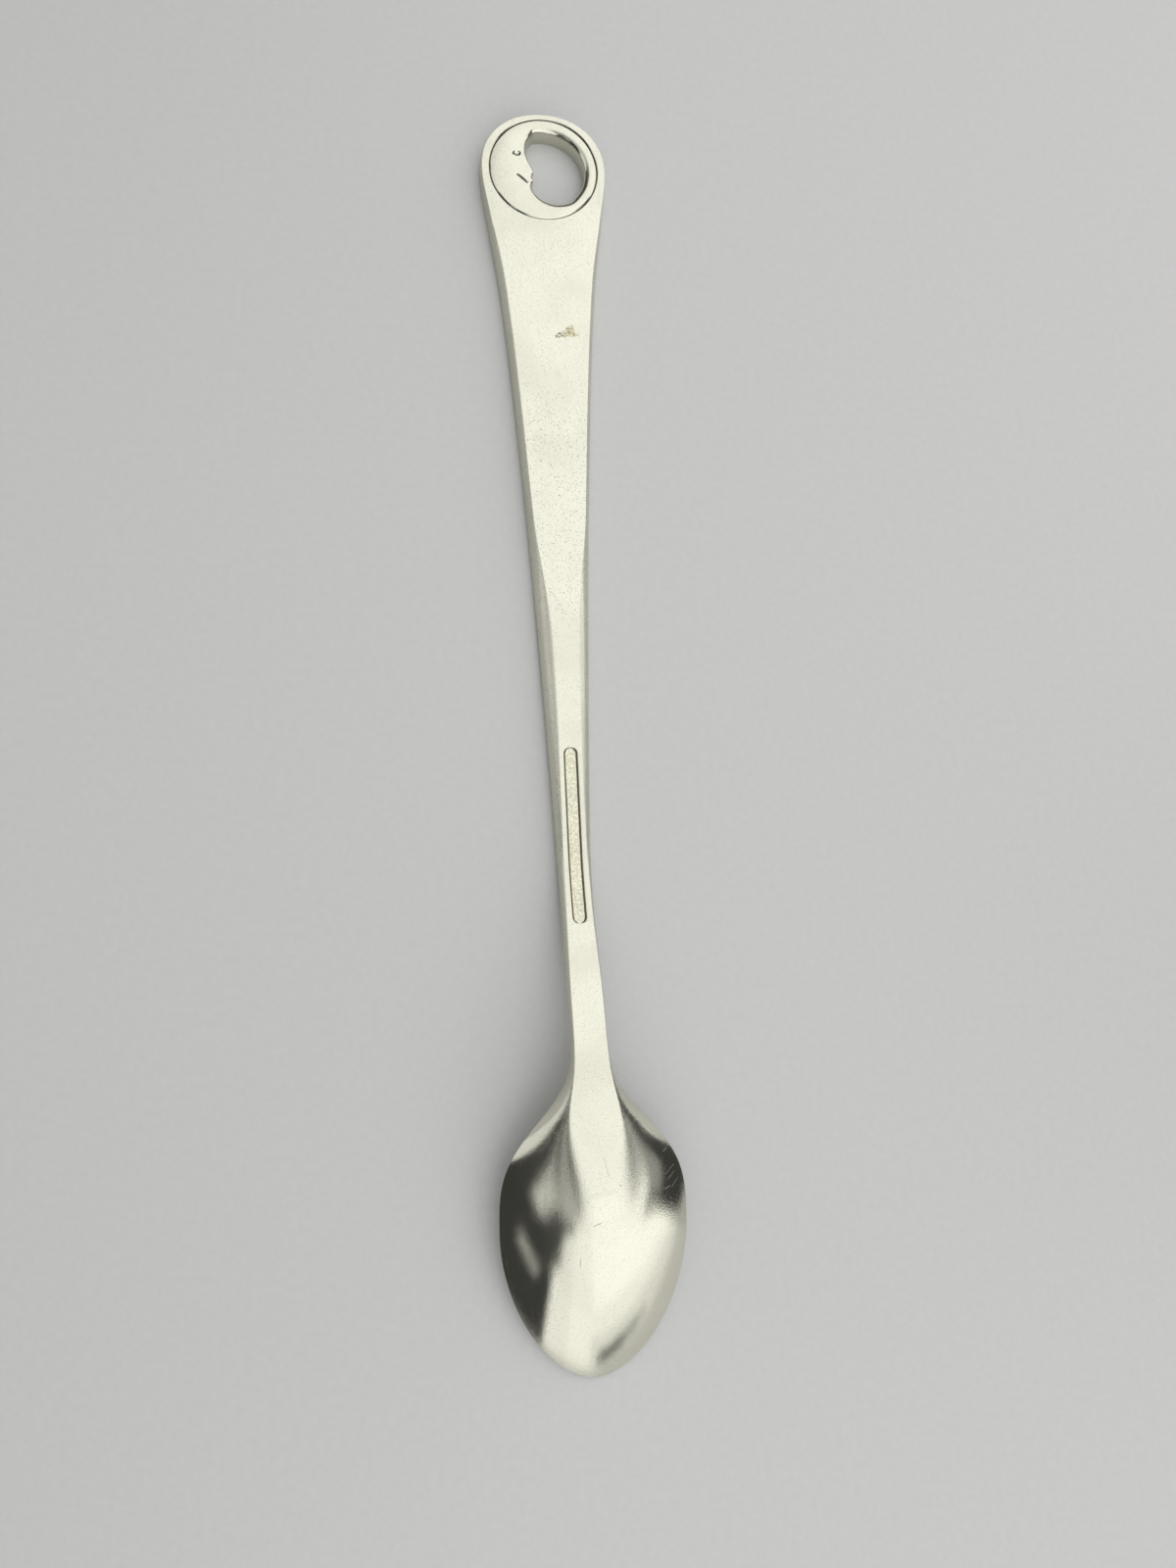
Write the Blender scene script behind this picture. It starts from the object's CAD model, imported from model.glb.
from collections import namedtuple
from math import atan2, cos, hypot, pi, radians, sin, sqrt

import bmesh
import bpy
from mathutils import Matrix, Vector


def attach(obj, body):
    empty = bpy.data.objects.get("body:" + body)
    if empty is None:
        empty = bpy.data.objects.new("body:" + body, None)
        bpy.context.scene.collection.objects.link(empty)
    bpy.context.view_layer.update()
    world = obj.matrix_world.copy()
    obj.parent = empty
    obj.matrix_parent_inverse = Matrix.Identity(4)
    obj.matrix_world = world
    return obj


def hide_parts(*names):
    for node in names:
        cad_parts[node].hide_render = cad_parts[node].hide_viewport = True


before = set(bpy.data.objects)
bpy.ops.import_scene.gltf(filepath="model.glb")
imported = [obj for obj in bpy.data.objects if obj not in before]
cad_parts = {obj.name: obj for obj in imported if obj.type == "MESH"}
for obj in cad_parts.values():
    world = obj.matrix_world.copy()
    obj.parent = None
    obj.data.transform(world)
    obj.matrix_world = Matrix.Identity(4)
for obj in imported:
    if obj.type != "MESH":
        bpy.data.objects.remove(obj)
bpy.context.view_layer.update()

# Infant feeding spoon in stainless steel, lying face down
# Sizes are in millimetres, places are measured from the bowl's tip
MILLIMETRES = 1000  # in a metre

# Whole spoon
LENGTH = 149.6
STOCK = 2.4  # thickness of stem and handle
CREST_RISE = 6.0  # front face above the table where the neck is highest

# Bowl
BOWL_HALF = 10.24
BOWL_WIDEST = 16.1
BOWL_DEPTH = 4.9  # back above the rim
BOWL_POWER = 1.81  # outline of the front half: 2 is an ellipse, less is more pointed
BOWL_DOME = 2  # fall of the back towards the rim: 1 is round, 2 is a parabola
SHOULDER_FULLNESS = 3.5  # how long the bowl keeps its width
SHOULDER_SWEEP = 10.7  # how fast the shoulders then draw in
RIM_LAND = 1.0  # width of the rim's edge
BOWL_WALL = 1.2
HOLLOW_REAR = 30  # far end of the hollow
RIM_STRAIGHT = 28  # the rim is straight this far

# Neck, stem and handle
CREST_AT = 32
THIN_AT = 32  # the bowl's depth has run out into the even stock here
TONGUE_TO = 36  # the stem's flat back runs out over the bowl from here
WAIST_AT = 42
WAIST_HALF = 1.99
STEM_AT = 52
STEM_HALF = 1.9
FLAT_FROM = 58  # the handle lies flat on the table from here
TAPER_AT = 72
TAPER_HALF = 2.54
BLADE_AT = 102
BLADE_HALF = 4.04

# Edges
EDGE_HEIGHT = 0.55  # the outline is widest this far above the front face
FRONT_ROUND = 0.4  # rounding between front face and side
NECK_SIDE = 0.25  # width of the neck's rounded sides
STEM_ROUND = 0.55  # the stem's rounded sides, as a share of its half-width
STEM_ROUND_AT = 78  # where the stem's sides are at their roundest
BLADE_BEVEL = 0.62  # width of the handle's bevels
END_BEVEL = 0.2  # width of the bevel round the eye
BEVEL_CRISPNESS = 1.5  # 1 is a round edge, 2 a straight bevel
BEVEL_FROM = 80  # the rounded sides turn into bevels between these places
BEVEL_TO = 98

# Eye and round end
DISC_RADIUS = 6.6
EYE_CLEARANCE = 0.15
EYE_RIM = 1.07  # metal left at the eye's sides
EYE_EDGE = 0.08  # chamfer of the eye
END_REACH = 7.52  # from the eye's middle to the handle's far end
END_FULLNESS = 2.12  # outline of the end: 2 is a half circle, more is squarer
FLARE_BACK = 15.2  # flare and head are this far before the eye's middle
FLARE_HALF = 5.94
HEAD_BACK = 6.2
HEAD_HALF = 7.15
EYE_RADIUS = DISC_RADIUS + EYE_CLEARANCE
END_RADIUS = EYE_RADIUS + EYE_RIM
EYE_AT = LENGTH - END_REACH
FLARE_AT = EYE_AT - FLARE_BACK
HEAD_AT = EYE_AT - HEAD_BACK

# Recess in the stem's back
RECESS_FROM = 49.15
RECESS_TO = 69.45
RECESS_HALF = 0.775
RECESS_DEPTH = 0.2
RECESS_WALL = 0.17  # width of its sloping wall
RECESS_LIP_IN = 0.2  # the wall's upper edge is rounded between these shares of its width
RECESS_LIP_OUT = 0.3
RECESS_LIP_RISE = 0.85  # share of the depth where the rounding starts

# Half-widths of stem and handle
HANDLE_EDGE = [
    (WAIST_AT, WAIST_HALF),
    (STEM_AT, STEM_HALF),
    (TAPER_AT, TAPER_HALF),
    (BLADE_AT, BLADE_HALF),
    (FLARE_AT, FLARE_HALF),
    (HEAD_AT, HEAD_HALF),
    (EYE_AT, END_RADIUS),
]


def lerp(a, b, t):
    return a + (b - a) * t


def smoothstep(t, low, high):
    t = min(1, max(0, (t - low) / (high - low)))
    return t * t * (3 - 2 * t)


# Shape of the forged body

def front_height(s):
    slope = 2 * CREST_RISE / (CREST_AT + RIM_STRAIGHT)
    if s <= RIM_STRAIGHT:
        return slope * s
    if s <= CREST_AT:
        past = s - RIM_STRAIGHT
        return slope * (s - past * past / (2 * (CREST_AT - RIM_STRAIGHT)))
    return CREST_RISE * (1 - smoothstep(s, CREST_AT, FLAT_FROM))


def thickness(s):
    return lerp(BOWL_DEPTH, STOCK, smoothstep(s, BOWL_WIDEST, THIN_AT))


def handle_slope(i):
    if i == 0 or i == len(HANDLE_EDGE) - 1:
        return 0
    (s0, w0), (s1, w1), (s2, w2) = HANDLE_EDGE[i - 1:i + 2]
    return ((w1 - w0) / (s1 - s0) + (w2 - w1) / (s2 - s1)) / 2


# The shoulders sweep in to the waist, and smooth cubics join the handle's widths
def half_width(s):
    if s < WAIST_AT:
        way = ((s - BOWL_WIDEST) / (WAIST_AT - BOWL_WIDEST)) ** SHOULDER_FULLNESS
        return lerp(WAIST_HALF, BOWL_HALF, (1 - way) ** SHOULDER_SWEEP)
    i = 0
    while i < len(HANDLE_EDGE) - 2 and s > HANDLE_EDGE[i + 1][0]:
        i += 1
    (s0, w0), (s1, w1) = HANDLE_EDGE[i:i + 2]
    span = s1 - s0
    t = min(1, (s - s0) / span)
    start = handle_slope(i) * span
    end = handle_slope(i + 1) * span
    cubic = 2 * (w0 - w1) + start + end
    square = 3 * (w1 - w0) - 2 * start - end
    return w0 + t * (start + t * (square + t * cubic))


# Width of the rounded or bevelled side
def side_width(s, reach, flatness):
    stem = lerp(NECK_SIDE, STEM_ROUND * reach, smoothstep(s, TONGUE_TO, STEM_ROUND_AT))
    blade = lerp(stem, BLADE_BEVEL, smoothstep(s, BEVEL_FROM, BEVEL_TO))
    end = lerp(blade, END_BEVEL, smoothstep(s, FLARE_AT, EYE_AT))
    return lerp(reach, end, flatness)


# Half-width of the recess and of the eye at a place on the spine
def recess_half(s):
    if s <= RECESS_FROM or s >= RECESS_TO:
        return 0
    end = min(s - RECESS_FROM, RECESS_TO - s)
    if end >= RECESS_HALF:
        return RECESS_HALF
    return sqrt(RECESS_HALF ** 2 - (RECESS_HALF - end) ** 2)


def eye_half(s):
    off = EYE_AT - s
    return sqrt(EYE_RADIUS ** 2 - off * off) if off < EYE_RADIUS else 0


# Rows of the fine mesh along the spoon
TIP_ROWS = 60
SHOULDER_ROWS = 110
NECK_ROWS = 50
HANDLE_ROWS = 90
HOLLOW_ROWS = 6
HOLLOW_END = 1.5  # length over which these rows crowd together at the hollow's far end
RECESS_ROWS = 10
EYE_ROWS = 48
END_ROWS = 72
LEAST_STEP = 0.004

# A row joins a place on the spine to a point of the right-hand outline, with the eye's half-width there
Row = namedtuple("Row", "spine x s inner")


# Places at even steps, and places that crowd together where a round end closes
def spread(low, high, steps):
    return [lerp(low, high, i / steps) for i in range(steps)]


def rounded(centre, radius, steps, far):
    turns = [pi / 2 * i / steps for i in range(steps + 1)]
    return [centre + far * radius * cos(turn) for turn in turns]


def rows():
    found = []
    for i in range(TIP_ROWS):
        turn = pi / 2 * i / TIP_ROWS
        x = BOWL_HALF * sin(turn) ** (2 / BOWL_POWER)
        s = BOWL_WIDEST * (1 - cos(turn) ** (2 / BOWL_POWER))
        found.append(Row(BOWL_WIDEST, x, s, 0))
    places = spread(BOWL_WIDEST, WAIST_AT, SHOULDER_ROWS)
    places += spread(WAIST_AT, FLAT_FROM, NECK_ROWS)
    places += spread(FLAT_FROM, EYE_AT - EYE_RADIUS, HANDLE_ROWS)
    places += rounded(HOLLOW_REAR - HOLLOW_END, HOLLOW_END, HOLLOW_ROWS, 1)
    places += rounded(RECESS_FROM + RECESS_HALF, RECESS_HALF, RECESS_ROWS, -1)
    places += rounded(RECESS_TO - RECESS_HALF, RECESS_HALF, RECESS_ROWS, 1)
    places += rounded(EYE_AT, EYE_RADIUS, EYE_ROWS, -1)
    last = None
    for s in sorted(places):
        if last is None or s - last > LEAST_STEP:
            found.append(Row(s, half_width(s), s, eye_half(s)))
            last = s
    for i in range(1, END_ROWS + 1):
        turn = pi / 2 * i / END_ROWS
        x = END_RADIUS * cos(turn) ** (2 / END_FULLNESS) if i < END_ROWS else 0
        s = EYE_AT + END_REACH * sin(turn) ** (2 / END_FULLNESS)
        found.append(Row(EYE_AT, x, s, EYE_RADIUS))
    return found


# Columns of the fine mesh round half a section
FLOOR_PARTS = (0, 0.4, 0.75, 1)
FLAT_PARTS = (0, 0.35, 0.65, 0.85, 0.95, 0.985, 1)
SIDE_STEPS = 26
ROUND_STEPS = 6
LAND_STEPS = 4
HOLLOW_STEPS = 18
RECESS_COLUMNS = len(FLOOR_PARTS)
EYE_COLUMNS = 3  # the eye's wall, which only a pierced section has


# Half a section of the body, from the back's middle over the side to the front's middle
def section(spine, x, s, inner):
    reach = hypot(x, s - spine)
    out_x = x / reach
    out_s = (s - spine) / reach
    in_tip = spine == BOWL_WIDEST and s < spine
    back = thickness(spine)
    flatness = smoothstep(spine, BOWL_WIDEST, TONGUE_TO) ** 2
    bladeness = smoothstep(spine, BEVEL_FROM, BEVEL_TO)
    side = side_width(spine, reach, flatness)
    out_power = lerp(1, BEVEL_CRISPNESS, bladeness)
    down_power = lerp(lerp(BOWL_DOME, 1, flatness ** 3), BEVEL_CRISPNESS, bladeness)
    points = []

    def put(far, height):
        along = spine + out_s * far
        points.append((out_x * far, along, front_height(along) + height))

    # Recess
    groove = recess_half(spine)
    wall = min(RECESS_WALL, groove / 2)
    sunk = back - RECESS_DEPTH if groove > 0 else back
    edge = min(EYE_EDGE, inner / 2)
    start = inner + edge
    for part in FLOOR_PARTS:
        put(start + (groove - wall) * part, sunk)
    put(start + groove - wall * RECESS_LIP_IN, lerp(sunk, back, RECESS_LIP_RISE))
    # Flat back
    first = start + groove + wall * RECESS_LIP_OUT
    for part in FLAT_PARTS:
        put(lerp(first, max(first, reach - side), part), back)
    # Side, as a round or a bevel
    for i in range(1, SIDE_STEPS + 1):
        turn = pi / 2 * i / SIDE_STEPS
        far = reach - side + side * sin(turn) ** out_power
        put(max(far, first), EDGE_HEIGHT + (back - EDGE_HEIGHT) * max(0, cos(turn)) ** down_power)
    for i in range(1, ROUND_STEPS + 1):
        turn = pi / 2 * i / ROUND_STEPS
        put(reach - FRONT_ROUND * (1 - cos(turn)), EDGE_HEIGHT * (1 - sin(turn)))
    # Front: the rim's land, then the hollow
    half = BOWL_HALF - RIM_LAND
    behind = 0
    rim = start
    if in_tip:
        ahead = (abs(out_x) / half) ** BOWL_POWER
        ahead += (abs(out_s) / (BOWL_WIDEST - RIM_LAND)) ** BOWL_POWER
        rim = ahead ** (-1 / BOWL_POWER)
    elif spine < HOLLOW_REAR:
        behind = (spine - BOWL_WIDEST) / (HOLLOW_REAR - BOWL_WIDEST)
        rim = half * sqrt(max(0, 1 - behind * behind))
    for i in range(1, LAND_STEPS + 1):
        put(lerp(reach - FRONT_ROUND, rim, i / LAND_STEPS), 0)
    for i in range(1, HOLLOW_STEPS + 1):
        turn = pi / 2 * i / HOLLOW_STEPS
        if in_tip or spine < HOLLOW_REAR:
            far = rim * cos(turn) if i < HOLLOW_STEPS else 0
            depth = (1 - behind * behind) * sin(turn) ** 2
            put(far, (BOWL_DEPTH - BOWL_WALL) * depth ** (BOWL_DOME / 2))
        else:
            put(start, 0)
    # Wall of the eye
    if inner > 0:
        put(inner, edge)
        put(inner, back - edge)
    else:
        put(0, 0)
        put(0, back)
    return points


def to_world(point):
    return Vector((point[0], point[1] - LENGTH / 2, point[2])) / MILLIMETRES


def make_piece(name, work, sharp_degrees):
    mesh = bpy.data.meshes.new(name)
    work.to_mesh(mesh)
    work.free()
    mesh.set_sharp_from_angle(angle=radians(sharp_degrees))
    piece = bpy.data.objects.new(name, mesh)
    bpy.context.scene.collection.objects.link(piece)
    return piece


# Corners closer than this are joined and shorter edges dropped, in metres
JOIN_WITHIN = 0.000002
LEAST_EDGE = 0.0000005
# An edge that turns by more degrees than this is drawn sharp
BODY_SHARP = 38
# Places of the body's second and third material
RECESS_FLOOR = 1
RECESS_EDGE = 2


# The right half and its mirror image
def build_body():
    work = bmesh.new()
    grid_rows = rows()
    sections = [section(*row) for row in grid_rows]
    count = len(sections[0])
    for mirror in (1, -1):
        grid = []
        for points in sections:
            grid.append([work.verts.new(to_world((mirror * x, s, z))) for x, s, z in points])
        for i in range(len(grid) - 1):
            here = grid_rows[i]
            ahead = grid_rows[i + 1]
            pierced = here.inner > 0 or ahead.inner > 0
            marked = RECESS_FROM < (here.s + ahead.s) / 2 < RECESS_TO
            for j in range(count if pierced else count - EYE_COLUMNS):
                k = (j + 1) % count
                corners = [grid[i][j], grid[i][k], grid[i + 1][k], grid[i + 1][j]]
                face = work.faces.new(corners if mirror == 1 else corners[::-1])
                face.smooth = True
                if marked and j < RECESS_COLUMNS - 1:
                    face.material_index = RECESS_FLOOR
                elif marked and j < RECESS_COLUMNS + 1:
                    face.material_index = RECESS_EDGE
    bmesh.ops.remove_doubles(work, verts=work.verts, dist=JOIN_WITHIN)
    bmesh.ops.dissolve_degenerate(work, edges=work.edges, dist=LEAST_EDGE)
    return make_piece("spoon_body_fine", work, BODY_SHARP)


# Moon disc, in millimetres from its own middle
OPENING_RADIUS = 5.15
OPENING_ROUND = 0.7
FACE_ROUND = 0.2
UNDER_ROUND = 0.2
LIP_LAND = 0.05  # flat strip outside the cut-out's rounded edge
DISC_CHAMFER = 0.09
COLLAR_RADIUS = 6.72  # a collar closes the seam a little below the surface
COLLAR_TOP = 0.17  # its upper and lower edge, below the face
COLLAR_BOTTOM = 0.4
HORN_TOP = radians(99)  # the cut-out's round side runs between these angles
HORN_LOW = radians(-54)
# The face's profile from the crown to the jaw, with the rounding of its edge
FACE_PROFILE = [
    (-1.35, 4.72, 0.66),
    (-2.0, 3.7, 0.52),
    (-2.15, 2.3, 0.34),
    (-1.8, 0.9, FACE_ROUND),
    (-1.25, -0.3, FACE_ROUND),
    (-1.55, -0.95, FACE_ROUND),
    (-1.35, -1.55, FACE_ROUND),
    (-1.7, -2.15, FACE_ROUND),
    (-1.4, -3.0, 0.3),
    (-0.65, -3.75, 0.5),
    (0.3, -4.22, 0.65),
    (1.5, -4.45, OPENING_ROUND),
]
FACE_SWELL = 0.09  # the face swells between the cut-out and the seam
SKY_POINTS = 11
OUTLINE_STEPS = 16
LIP_STEPS = 10
UNDER_STEPS = 5
FACE_STEPS = 56
DISC_SHARP = 30
TARNISHED = 1  # place of the disc's second material


# A smooth closed curve through the points
def closed_curve(points, steps):
    smooth = []
    count = len(points)
    for i in range(count):
        around = [points[(i + k - 1) % count] for k in range(4)]
        for j in range(steps):
            t = j / steps
            weights = (
                (-t + 2 * t * t - t ** 3) / 2,
                (2 - 5 * t * t + 3 * t ** 3) / 2,
                (t + 4 * t * t - 3 * t ** 3) / 2,
                (-t * t + t ** 3) / 2,
            )
            smooth.append([sum(w * p[k] for w, p in zip(weights, around)) for k in range(3)])
    return smooth


# The cut-out's outline, counter-clockwise, with the rounding of its edge as a third value
def moon_outline():
    marks = []
    for i in range(SKY_POINTS + 1):
        turn = lerp(HORN_LOW, HORN_TOP, i / SKY_POINTS)
        marks.append((OPENING_RADIUS * cos(turn), OPENING_RADIUS * sin(turn), OPENING_ROUND))
    marks += FACE_PROFILE
    return closed_curve(marks, OUTLINE_STEPS)


# Closed eye and mouth, engraved in the face
LID_X = -3.3
LID_Y = 2.05
LID_WIDE = 0.42
LID_HIGH = 0.3
LID_ANGLES = range(130, 436, 15)
MOUTH_FROM = (-3.45, -0.8)
MOUTH_TO = (-2.05, -1.95)
MOUTH_BOW = 0.08
MOUTH_STEPS = 8
LINE_HALF = 0.14
LINE_DEPTH = 0.16
TARNISH_FROM = 0.3  # a line is tarnished below this share of its depth


def lid_line():
    turns = [radians(angle) for angle in LID_ANGLES]
    return [(LID_X + LID_WIDE * cos(turn), LID_Y + LID_HIGH * sin(turn)) for turn in turns]


def mouth_line():
    points = []
    for i in range(MOUTH_STEPS + 1):
        t = i / MOUTH_STEPS
        x = lerp(MOUTH_FROM[0], MOUTH_TO[0], t)
        y = lerp(MOUTH_FROM[1], MOUTH_TO[1], t)
        points.append((x, y + MOUTH_BOW * sin(pi * t)))
    return points


ENGRAVED_LINES = (lid_line(), mouth_line())


# Depth of the engraving at a place on the face
def engraving(x, y):
    depth = 0
    for line in ENGRAVED_LINES:
        last = len(line) - 1
        for i in range(last):
            (x0, y0), (x1, y1) = line[i:i + 2]
            along = ((x - x0) * (x1 - x0) + (y - y0) * (y1 - y0)) / ((x1 - x0) ** 2 + (y1 - y0) ** 2)
            along = min(1, max(0, along))
            off = hypot(x - lerp(x0, x1, along), y - lerp(y0, y1, along))
            if off < LINE_HALF:
                fade = sqrt(max(0, sin(pi * (i + along) / last)))
                depth = max(depth, LINE_DEPTH * fade * (1 - off / LINE_HALF))
    return depth


def build_disc():
    work = bmesh.new()
    outline = moon_outline()
    count = len(outline)

    def ring(points):
        return [work.verts.new(to_world((x, y + EYE_AT, z))) for x, y, z in points]

    def bridge(a, b):
        return [work.faces.new((a[i - 1], a[i], b[i], b[i - 1])) for i in range(count)]

    def loop_edges(verts):
        return [work.edges.get((verts[i - 1], verts[i])) for i in range(count)]

    # The outline grown by a share of its rounding and an extra, and lowered by another share of it
    def grown(share, extra, drop, height):
        points = []
        for i in range(count):
            x, y, size = outline[i]
            ahead = outline[(i + 1) % count]
            behind = outline[i - 1]
            dx = ahead[0] - behind[0]
            dy = ahead[1] - behind[1]
            long = hypot(dx, dy)
            out = size * share + extra
            points.append((x + dy / long * out, y - dx / long * out, height - size * drop))
        return points

    # Wall of the cut-out with rounded edges
    lip = grown(1, LIP_LAND, 0, STOCK)
    rings = [ring(lip)]
    for i in range(LIP_STEPS + 1):
        turn = pi / 2 * i / LIP_STEPS
        rings.append(ring(grown(1 - sin(turn), 0, 1 - cos(turn), STOCK)))
    for i in range(UNDER_STEPS + 1):
        turn = pi / 2 * i / UNDER_STEPS
        rings.append(ring(grown(0, UNDER_ROUND * (1 - cos(turn)), 0, UNDER_ROUND * (1 - sin(turn)))))

    # Chamfer and side with the collar, each point straight out from one of the cut-out's
    def circle(radius, height):
        return [(radius * x / hypot(x, y), radius * y / hypot(x, y), height) for x, y, z in lip]

    seam = circle(DISC_RADIUS - DISC_CHAMFER, STOCK)
    chamfer = [ring(seam), ring(circle(DISC_RADIUS, STOCK - DISC_CHAMFER))]
    side = [
        ring(circle(COLLAR_RADIUS, STOCK - COLLAR_TOP)),
        ring(circle(COLLAR_RADIUS, STOCK - COLLAR_BOTTOM)),
        ring(circle(DISC_RADIUS, STOCK - COLLAR_BOTTOM)),
        ring(circle(DISC_RADIUS, DISC_CHAMFER)),
        ring(circle(DISC_RADIUS - DISC_CHAMFER, 0)),
    ]

    # Face
    face_rings = [rings[0]]
    for j in range(1, FACE_STEPS):
        part = j / FACE_STEPS
        points = []
        for (x0, y0, z0), (x1, y1, z1) in zip(lip, seam):
            x = lerp(x0, x1, part)
            y = lerp(y0, y1, part)
            swell = FACE_SWELL * hypot(x1 - x0, y1 - y0) * part * (1 - part)
            points.append((x, y, STOCK + swell - engraving(x, y)))
        face_rings.append(ring(points))
    face_rings.append(chamfer[0])
    for a, b in zip(face_rings, face_rings[1:]):
        for face in bridge(a, b):
            middle = face.calc_center_median() * MILLIMETRES
            if engraving(middle.x, middle.y + LENGTH / 2 - EYE_AT) > LINE_DEPTH * TARNISH_FROM:
                face.material_index = TARNISHED

    for chain in (rings, chamfer, side):
        for a, b in zip(chain, chain[1:]):
            bridge(a, b)
    for face in bridge(chamfer[-1], side[0]):
        face.material_index = TARNISHED
    bmesh.ops.triangle_fill(work, use_beauty=True, edges=loop_edges(rings[-1]) + loop_edges(side[-1]))
    bmesh.ops.recalc_face_normals(work, faces=work.faces)
    for face in work.faces:
        face.smooth = True
    return make_piece("moon_disc_fine", work, DISC_SHARP)


# Materials, on places in millimetres from the spoon's middle

# The colour sockets of Blender's mix node
MIX_FIRST = 6
MIX_SECOND = 7
MIX_RESULT = 2

# A mark fades out from these shares of its half-length and half-width
MARK_END = 0.6
MARK_SIDE = 0.3


class Nodes:
    def __init__(self, name):
        self.material = bpy.data.materials.new(name)
        self.material.use_nodes = True
        self.tree = self.material.node_tree
        self.shader = self.tree.nodes["Principled BSDF"]
        self.place = self.make("ShaderNodeTexCoord").outputs["Object"]
        self.place = self.scaled(self.place, (MILLIMETRES, MILLIMETRES, MILLIMETRES))

    def make(self, kind, **settings):
        made = self.tree.nodes.new(kind)
        for key, value in settings.items():
            setattr(made, key, value)
        return made

    def feed(self, socket, value):
        if isinstance(value, bpy.types.NodeSocket):
            self.tree.links.new(value, socket)
        else:
            socket.default_value = value

    def scaled(self, vector, size, turn=0, shift=(0, 0, 0)):
        made = self.make("ShaderNodeMapping")
        self.feed(made.inputs["Vector"], vector)
        made.inputs["Location"].default_value = shift
        made.inputs["Rotation"].default_value = (0, 0, turn)
        made.inputs["Scale"].default_value = size
        return made.outputs["Vector"]

    def noise(self, vector, scale, detail=2, rough=0.5):
        made = self.make("ShaderNodeTexNoise")
        self.feed(made.inputs["Vector"], vector)
        made.inputs["Scale"].default_value = scale
        made.inputs["Detail"].default_value = detail
        made.inputs["Roughness"].default_value = rough
        return made.outputs["Fac"]

    def ramp(self, value, low, high, to_low=0.0, to_high=1.0, soft=True):
        made = self.make("ShaderNodeMapRange", interpolation_type="SMOOTHSTEP" if soft else "LINEAR")
        self.feed(made.inputs["Value"], value)
        made.inputs["From Min"].default_value = low
        made.inputs["From Max"].default_value = high
        made.inputs["To Min"].default_value = to_low
        made.inputs["To Max"].default_value = to_high
        return made.outputs["Result"]

    def math(self, operation, a, b):
        made = self.make("ShaderNodeMath", operation=operation)
        self.feed(made.inputs[0], a)
        self.feed(made.inputs[1], b)
        return made.outputs["Value"]

    def plus(self, a, b):
        return self.math("ADD", a, b)

    def times(self, a, b):
        return self.math("MULTIPLY", a, b)

    def larger(self, a, b):
        return self.math("MAXIMUM", a, b)

    def smaller(self, a, b):
        return self.math("MINIMUM", a, b)

    def mix(self, factor, a, b):
        made = self.make("ShaderNodeMix", data_type="RGBA")
        self.feed(made.inputs[0], factor)
        self.feed(made.inputs[MIX_FIRST], a)
        self.feed(made.inputs[MIX_SECOND], b)
        return made.outputs[MIX_RESULT]

    def axis(self, name):
        made = self.make("ShaderNodeSeparateXYZ")
        self.feed(made.inputs[0], self.place)
        return made.outputs[name]

    # How far the surface faces up, as the spoon lies
    def facing(self):
        made = self.make("ShaderNodeSeparateXYZ")
        self.feed(made.inputs[0], self.make("ShaderNodeTexCoord").outputs["Normal"])
        return made.outputs["Z"]

    # Thin scratches that run one way
    def scratches(self, turn, across, along, low, high, shift):
        turned = self.scaled(self.place, (1, 1, 1), turn, shift)
        streaks = self.noise(self.scaled(turned, (across, along, along)), 1, detail=1, rough=0.4)
        return self.ramp(streaks, low, high)

    # One mark on the back, from start to end in millimetres from the bowl's tip
    def stroke(self, start, end, half):
        turn = atan2(end[1] - start[1], end[0] - start[0])
        x = (start[0] + end[0]) / 2
        y = (start[1] + end[1] - LENGTH) / 2
        shift = (-x * cos(turn) - y * sin(turn), x * sin(turn) - y * cos(turn), 0)
        local = self.make("ShaderNodeSeparateXYZ")
        self.feed(local.inputs[0], self.scaled(self.place, (1, 1, 1), -turn, shift))
        reach = hypot(end[0] - start[0], end[1] - start[1]) / 2
        along = self.ramp(self.math("ABSOLUTE", local.outputs["X"], 0), reach, reach * MARK_END)
        across = self.ramp(self.math("ABSOLUTE", local.outputs["Y"], 0), half, half * MARK_SIDE)
        return self.times(along, across)

    # How far a place lies inside a triangle, corners counter-clockwise in millimetres from the bowl's tip
    def inside(self, corners):
        depth = None
        for i, (x, s) in enumerate(corners):
            ahead_x, ahead_s = corners[(i + 1) % 3]
            long = hypot(ahead_x - x, ahead_s - s)
            across = ((s - ahead_s) / long, (ahead_x - x) / long, 0)
            dot = self.make("ShaderNodeVectorMath", operation="DOT_PRODUCT")
            self.feed(dot.inputs[0], self.place)
            dot.inputs[1].default_value = across
            edge = across[0] * x + across[1] * (s - LENGTH / 2)
            far = self.math("SUBTRACT", dot.outputs["Value"], edge)
            depth = far if depth is None else self.smaller(depth, far)
        return depth

    def bump(self, height, distance):
        made = self.make("ShaderNodeBump")
        made.inputs["Strength"].default_value = 1
        made.inputs["Distance"].default_value = distance
        self.feed(made.inputs["Height"], height)
        return made.outputs["Normal"]


# Colours of the steel
STEEL = (0.67, 0.662, 0.56, 1)
STEEL_DULL = (0.64, 0.632, 0.53, 1)
STEEL_PIT = (0.3, 0.295, 0.26, 1)
SCRATCH = (0.26, 0.255, 0.23, 1)

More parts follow.
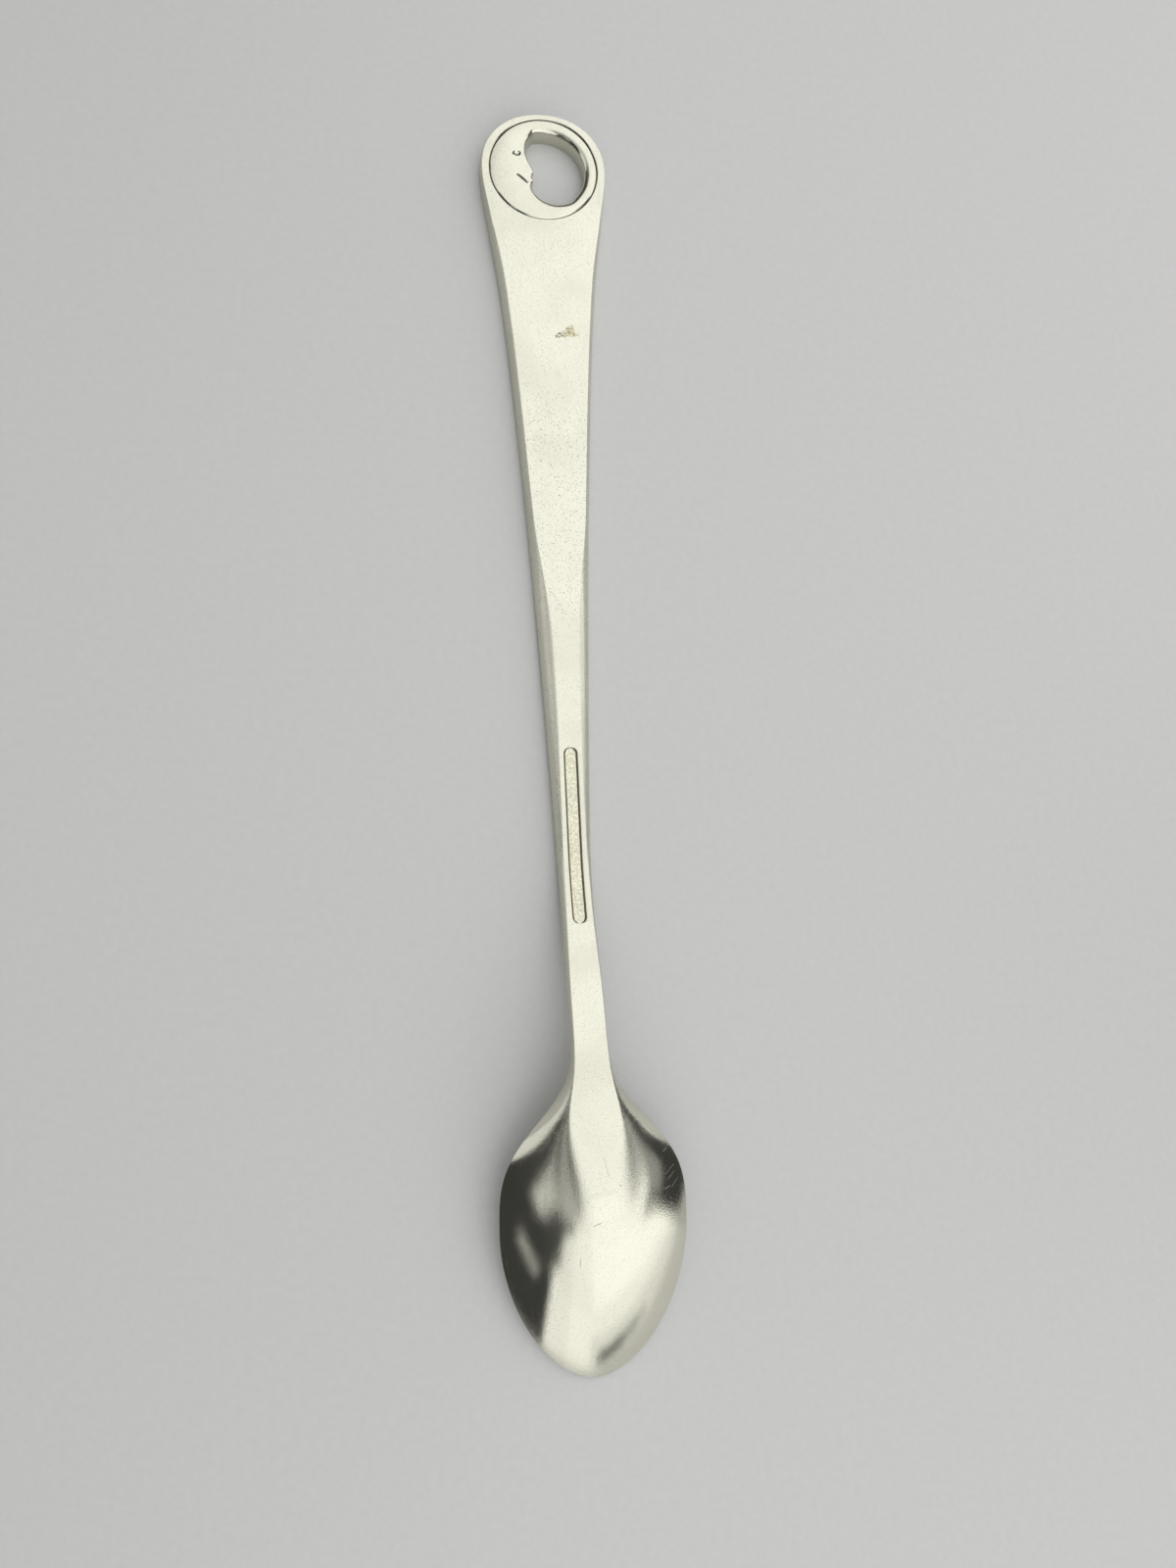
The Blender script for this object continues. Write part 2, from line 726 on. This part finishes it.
# Noise in the steel: scale per millimetre, and the levels between which it shows
CLOUD_SCALE = 0.16
CLOUD_TONE_LEVELS = (0.35, 0.7)
CLOUD_ROUGH_LEVELS = (0.3, 0.75)
CLUSTER_SCALE = 0.11
CLUSTER_LEVELS = (0.46, 0.62)
PIT_SCALE = 5.6
PIT_LEVELS = (0.66, 0.74)
PIT_STRENGTH = 0.95
SPECK_SCALE = 6.05
SPECK_LEVELS = (0.58, 0.72)
SPECK_STRENGTH = 0.7
GRAIN_SCALE = 6

# Zones along the spoon and above the table, each from where it starts to where it is full
POLISHED = (-36, -48)
BOWL_TOP = (5.2, 8.6)
WORN_FROM_STEM = (4, 16)
WORN_FROM_END = (46, 30)
LEAST_WEAR = 0.4

# Shares of facing up: the back as a whole, and from the cut-out's rounded lip to the disc's face
BACK_FACING = (0, 0.2)
LIP_FACING = (0.7, 0.99)

# Roughness, and what the bowl's rubbed top, the clouds and the scratches add to it
HANDLE_ROUGH = 0.26
BOWL_ROUGH = 0.08
LIP_ROUGH = 0.1
TOP_ROUGHER = 0.11
CLOUD_LEAST = -0.01
CLOUD_MOST = 0.03
SCRATCH_ROUGHER = 0.1

# Height of the grain in metres, and its share on the bowl and on the disc
GRAIN_HEIGHT = 0.00002
BOWL_GRAIN = 0.35
DISC_GRAIN = 0.4

# Fine scratches: direction, fineness across and along, levels where they start and are full, and shift
SCRATCHES = [
    (0.05, 15, 0.2, 0.66, 0.74, (1, 9, 5)),
    (0.6, 14, 0.35, 0.68, 0.74, (3, 1, 0)),
    (-0.8, 13, 0.4, 0.69, 0.75, (7, 4, 2)),
]

# Worn marks on the back: start, end, half-width and strength
MARKS = [
    ((-0.8, 17.5), (0.3, 17.9), 0.09, 0.55),
    ((-2.1, 14.35), (-2.1, 13.2), 0.08, 0.6),
    ((0.7, 24.7), (1.25, 22.2), 0.07, 0.4),
    ((2.3, 21.6), (2.45, 21.3), 0.1, 0.5),
    ((-1.2, 20.5), (2.4, 21.1), 0.4, 0.08),
    ((1.5, 134.25), (1.7, 134.35), 0.1, 0.45),
    ((0.3, 131.4), (0.5, 131.45), 0.1, 0.45),
    ((2.0, 66.4), (2.15, 66.5), 0.1, 0.3),
]

# Rub marks on the bowl's right shoulder, which catch the light: start and end
RUBS = [
    ((7.45, 21.75), (9.05, 22.95)),
    ((7.8, 21.2), (8.95, 22.15)),
    ((7.45, 20.3), (8.25, 20.65)),
    ((8.25, 20.3), (9.4, 21.45)),
    ((7.45, 24.25), (8.05, 24.6)),
]
RUB_HALF = 0.055
RUB_STRENGTH = 2.2

# Dried speck on the handle's back
STAIN_DARK = (0.2, 0.195, 0.11, 1)
STAIN_PALE = (0.5, 0.455, 0.3, 1)
STAIN_CORNERS = [(0.0, 119.95), (3.4, 119.9), (2.65, 121.7)]
STAIN_FILLED = (1.1, 2.3)  # the strokes close up between these places across the handle
STAIN_EDGE = (0, 0.12)
RAGGED_SCALE = 2.2
RAGGED_LEVELS = (0.2, 0.8)
STROKE_STRETCH = (1, 1.5, 1)
STROKE_TURN = 0.7
STROKE_SCALE = 2.6
STROKE_LEVELS = (0.47, 0.55)

# Recess and tarnish
STIPPLE_DARK = (0.52, 0.5, 0.38, 1)
STIPPLE_PALE = (0.78, 0.76, 0.62, 1)
STIPPLE_SCALE = 4.2
STIPPLE_LEVELS = (0.34, 0.66)
STIPPLE_HEIGHT = 0.00003
SMEAR_SCALE = 0.6
SMEAR_LEVELS = (0.3, 0.7)
RECESS_TARNISH = (0.13, 0.12, 0.075, 1)
LINE_TARNISH = (0.1, 0.095, 0.08, 1)
TARNISH_PALER = 1.6
DIRT_SCALE = 3
DIRT_LEVELS = (0.3, 0.7)

# Floor
FLOOR_DARK = (0.57, 0.57, 0.562, 1)
FLOOR_PALE = (0.63, 0.63, 0.622, 1)
FLOOR_SCALE = 1.2


# Satin steel for the body, with a polished bowl and its marks, or for the disc
def steel(name, marked):
    n = Nodes(name)
    n.shader.inputs["Metallic"].default_value = 1
    bowl = n.ramp(n.axis("Y"), *POLISHED)
    cloud = n.noise(n.place, CLOUD_SCALE, detail=3)
    # Colour, with pits and specks most where the handle is worn
    worn = n.ramp(n.axis("Y"), *WORN_FROM_STEM, to_low=LEAST_WEAR)
    worn = n.smaller(worn, n.ramp(n.axis("Y"), *WORN_FROM_END, to_low=LEAST_WEAR))
    clusters = n.ramp(n.noise(n.place, CLUSTER_SCALE), *CLUSTER_LEVELS)
    pits = n.times(n.ramp(n.noise(n.place, PIT_SCALE, rough=0.55), *PIT_LEVELS), clusters)
    specks = n.ramp(n.noise(n.place, SPECK_SCALE, detail=1), *SPECK_LEVELS)
    tone = n.mix(n.ramp(cloud, *CLOUD_TONE_LEVELS), STEEL, STEEL_DULL)
    tone = n.mix(n.times(pits, n.times(worn, PIT_STRENGTH)), tone, STEEL_PIT)
    tone = n.mix(n.times(specks, n.times(worn, SPECK_STRENGTH)), tone, STEEL_PIT)
    # Roughness, and the body's marks
    scratch = 0
    for settings in SCRATCHES:
        scratch = n.larger(scratch, n.scratches(*settings))
    if marked:
        back = n.ramp(n.facing(), *BACK_FACING)
        for start, end, half, strength in MARKS:
            mark = n.times(n.stroke(start, end, half), back)
            tone = n.mix(n.times(mark, strength), tone, SCRATCH)
        tone = stain(n, tone, back)
        for start, end in RUBS:
            rub = n.times(n.stroke(start, end, RUB_HALF), back)
            scratch = n.larger(scratch, n.times(rub, RUB_STRENGTH))
        top = n.ramp(n.axis("Z"), *BOWL_TOP)
        rough = n.ramp(bowl, 0, 1, to_low=HANDLE_ROUGH, to_high=BOWL_ROUGH)
        rough = n.plus(rough, n.times(n.times(bowl, top), TOP_ROUGHER))
    else:
        rough = n.ramp(n.facing(), *LIP_FACING, to_low=LIP_ROUGH, to_high=HANDLE_ROUGH)
    rough = n.plus(rough, n.ramp(cloud, *CLOUD_ROUGH_LEVELS, to_low=CLOUD_LEAST, to_high=CLOUD_MOST))
    rough = n.plus(rough, n.times(scratch, SCRATCH_ROUGHER))
    # Grain
    share = n.ramp(bowl, 0, 1, to_low=1 if marked else DISC_GRAIN, to_high=BOWL_GRAIN)
    grain = n.times(n.noise(n.place, GRAIN_SCALE, rough=0.6), share)
    n.feed(n.shader.inputs["Base Color"], tone)
    n.feed(n.shader.inputs["Roughness"], rough)
    n.feed(n.shader.inputs["Normal"], n.bump(grain, GRAIN_HEIGHT))
    return n.material


# A three-cornered speck of dried food on the handle's back, broken into strokes on its left
def stain(n, tone, back):
    ragged = n.noise(n.place, RAGGED_SCALE, detail=4, rough=0.75)
    ragged = n.ramp(ragged, *RAGGED_LEVELS, to_low=-0.55, to_high=0.5, soft=False)
    depth = n.plus(n.inside(STAIN_CORNERS), ragged)
    filled = n.ramp(n.axis("X"), *STAIN_FILLED, to_high=0.8)
    strokes = n.noise(n.scaled(n.place, STROKE_STRETCH, STROKE_TURN), STROKE_SCALE)
    strokes = n.ramp(strokes, *STROKE_LEVELS)
    cover = n.times(n.ramp(depth, *STAIN_EDGE), n.larger(filled, strokes))
    pale = n.times(filled, n.ramp(strokes, 0, 1, to_low=1.2, to_high=0.55))
    return n.mix(n.times(cover, back), tone, n.mix(pale, STAIN_DARK, STAIN_PALE))


# Stippled floor of the recess
def recess_steel():
    n = Nodes("recess_steel")
    n.shader.inputs["Metallic"].default_value = 1
    stipple = n.noise(n.place, STIPPLE_SCALE, detail=3, rough=0.65)
    smear = n.noise(n.place, SMEAR_SCALE)
    tone = n.mix(n.ramp(stipple, *STIPPLE_LEVELS), STIPPLE_DARK, STIPPLE_PALE)
    n.feed(n.shader.inputs["Base Color"], tone)
    n.feed(n.shader.inputs["Roughness"], n.ramp(smear, *SMEAR_LEVELS, to_low=0.3, to_high=0.4))
    n.feed(n.shader.inputs["Normal"], n.bump(stipple, STIPPLE_HEIGHT))
    return n.material


# Tarnish in the engraved lines, in the seam and along the recess
def tarnish(name, colour):
    n = Nodes(name)
    n.shader.inputs["Metallic"].default_value = 0.7
    n.shader.inputs["Roughness"].default_value = 0.5
    dirt = n.ramp(n.noise(n.place, DIRT_SCALE, detail=3, rough=0.6), *DIRT_LEVELS)
    pale = tuple(min(1, TARNISH_PALER * part) for part in colour[:3]) + (1,)
    n.feed(n.shader.inputs["Base Color"], n.mix(dirt, colour, pale))
    return n.material


def floor_material():
    n = Nodes("pale_floor")
    n.shader.inputs["Roughness"].default_value = 0.4
    speck = n.noise(n.place, FLOOR_SCALE, detail=3, rough=0.6)
    n.feed(n.shader.inputs["Base Color"], n.mix(speck, FLOOR_DARK, FLOOR_PALE))
    return n.material


# Pieces
body = build_body()
body.data.materials.append(steel("satin_steel", True))
body.data.materials.append(recess_steel())
body.data.materials.append(tarnish("recess_edge", RECESS_TARNISH))
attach(body, "root")
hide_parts("spoon_body")

disc = build_disc()
disc.data.materials.append(steel("struck_steel", False))
disc.data.materials.append(tarnish("engraved_lines", LINE_TARNISH))
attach(disc, "root")
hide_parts("moon_disc")

# Floor, light and camera are in metres

FLOOR_RADIUS = 4
FLOOR_SIDES = 96
FLOOR_HEIGHT = -0.00002  # a hair below the spoon

floor_mesh = bpy.data.meshes.new("floor")
floor_work = bmesh.new()
bmesh.ops.create_circle(floor_work, cap_ends=True, radius=FLOOR_RADIUS, segments=FLOOR_SIDES)
floor_work.to_mesh(floor_mesh)
floor_work.free()
floor = bpy.data.objects.new("floor", floor_mesh)
floor.location = (0, 0, FLOOR_HEIGHT)
floor_mesh.materials.append(floor_material())
bpy.context.scene.collection.objects.link(floor)

# Soft boxes stand round the spoon, and the bowl reflects them and the dim room between them
ROOM = (0.057, 0.057, 0.0575, 1)
CEILING = 0.78
FRONT = -0.7
LEAN = 58

world = bpy.data.worlds.new("studio")
world.use_nodes = True
world.node_tree.nodes["Background"].inputs["Color"].default_value = ROOM
world.node_tree.nodes["Background"].inputs["Strength"].default_value = 1
bpy.context.scene.world = world


# A box shines down until it is tilted, and the heading then turns it about the upright, both in degrees
def soft_box(name, place, tilt, heading, width, length, radiance):
    lamp = bpy.data.lights.new(name, "AREA")
    lamp.shape = "RECTANGLE"
    lamp.size = width
    lamp.size_y = length
    lamp.energy = radiance * pi * width * length
    box = bpy.data.objects.new(name, lamp)
    box.location = place
    box.rotation_euler = (radians(tilt), 0, radians(heading))
    bpy.context.scene.collection.objects.link(box)


# Overhead
soft_box("overhead_box", (0.45, 0.725, CEILING), 0, 0, 1.1, 1.25, 1.38)
soft_box("overhead_middle_box", (0.2, -0.075, CEILING), 0, 0, 0.6, 0.35, 1.26)
soft_box("overhead_front_box", (0.31, -0.475, CEILING), 0, 0, 0.62, 0.45, 1.42)
soft_box("overhead_right_box", (0.885, -0.54, CEILING), 0, 0, 0.53, 0.32, 1.42)
soft_box("overhead_dim_box", (0.885, -0.315, CEILING), 0, 0, 0.53, 0.13, 0.35)

# In front of the bowl's tip
soft_box("front_box", (0.75, FRONT, 0.54), 90, 0, 1.5, 0.48, 1.42)
soft_box("front_middle_box", (0.75, FRONT, 0.23), 90, 0, 1.5, 0.14, 1.24)

# Low in front, with a slot that the bowl shows as a dark line: name, middle, width and height of the slot
LOW_TOP = 0.16
LOW_BOTTOM = 0.002
SLOT_AT = 0.054
BOX_RADIANCE = 1
SILL_RADIANCE = 0.95
LOW_BOXES = [
    ("front_low_left", 0.03, 0.06, 0),
    ("front_low_start", 0.09, 0.06, 0.035),
    ("front_low", 0.21, 0.18, 0.052),
    ("front_low_fade", 0.365, 0.13, 0.034),
    ("front_low_end", 0.48, 0.1, 0.018),
    ("front_low_right", 1.015, 0.97, 0),
]
for name, x, width, slot in LOW_BOXES:
    below = SLOT_AT - slot / 2
    above = SLOT_AT + slot / 2
    box_middle = (x, FRONT, (above + LOW_TOP) / 2)
    sill_middle = (x, FRONT, (below + LOW_BOTTOM) / 2)
    soft_box(name + "_box", box_middle, 90, 0, width, LOW_TOP - above, BOX_RADIANCE)
    soft_box(name + "_sill", sill_middle, 90, 0, width, below - LOW_BOTTOM, SILL_RADIANCE)

# Leaning over from the front left, in steps along the edge of the bowl's bright field
soft_box("front_left_box", (-0.27, -0.6776, 0.1947), LEAN, 0, 0.18, 0.4395, 1.12)
soft_box("front_left_corner_box", (-0.24, -0.4974, 0.483), LEAN, 0, 0.12, 0.2395, 1.12)
soft_box("front_left_inner_box", (-0.09, -0.614, 0.2965), LEAN, 0, 0.18, 0.679, 1.25)
soft_box("front_left_upper_box", (-0.1, -0.3955, 0.6501), LEAN, 0, 0.2, 0.153, 1.2)
soft_box("front_left_top_box", (-0.06, -0.3145, 0.7799), LEAN, 0, 0.12, 0.153, 1.2)

# To the right and the left, with strips and dim boxes for the bowl's flanks
soft_box("right_box", (1.05, 0.6, 0.41), 90, 90, 0.95, 0.74, 1.35)
soft_box("left_box", (-0.9, 0.365, 0.56), 90, -90, 0.57, 1.08, 0.85)
soft_box("overhead_left_box", (-0.36, 0.3, 0.8), 0, 0, 0.5, 0.7, 0.7)
soft_box("upper_left_box", (-0.296, -0.303, 0.76), 27, -50, 0.2, 0.22, 0.56)
soft_box("left_strip", (-0.498, -0.277, 0.59), 43, -66, 0.11, 0.26, 1)
soft_box("left_low_strip", (-0.584, -0.528, 0.279), 70, -51, 0.25, 0.08, 0.36)
soft_box("right_dim_box", (0.82, -0.229, 0.55), 57, 78, 0.236, 0.46, 0.32)

# Camera
CAMERA_AT = (-0.01808, -0.02782, 0.13531)
PITCH = radians(8.08)
ROLL = radians(8.16)
YAW = radians(2.745)
view = bpy.data.cameras.new("photo_view")
view.sensor_fit = "VERTICAL"
view.sensor_height = 36
view.lens = 27
view.clip_start = 0.005
camera = bpy.data.objects.new("photo_view", view)
turned = Matrix.Rotation(-YAW, 4, "Z") @ Matrix.Rotation(-ROLL, 4, "Y") @ Matrix.Rotation(PITCH, 4, "X")
camera.matrix_world = Matrix.Translation(CAMERA_AT) @ turned
bpy.context.scene.collection.objects.link(camera)
bpy.context.scene.camera = camera
bpy.context.scene.view_settings.view_transform = "Standard"
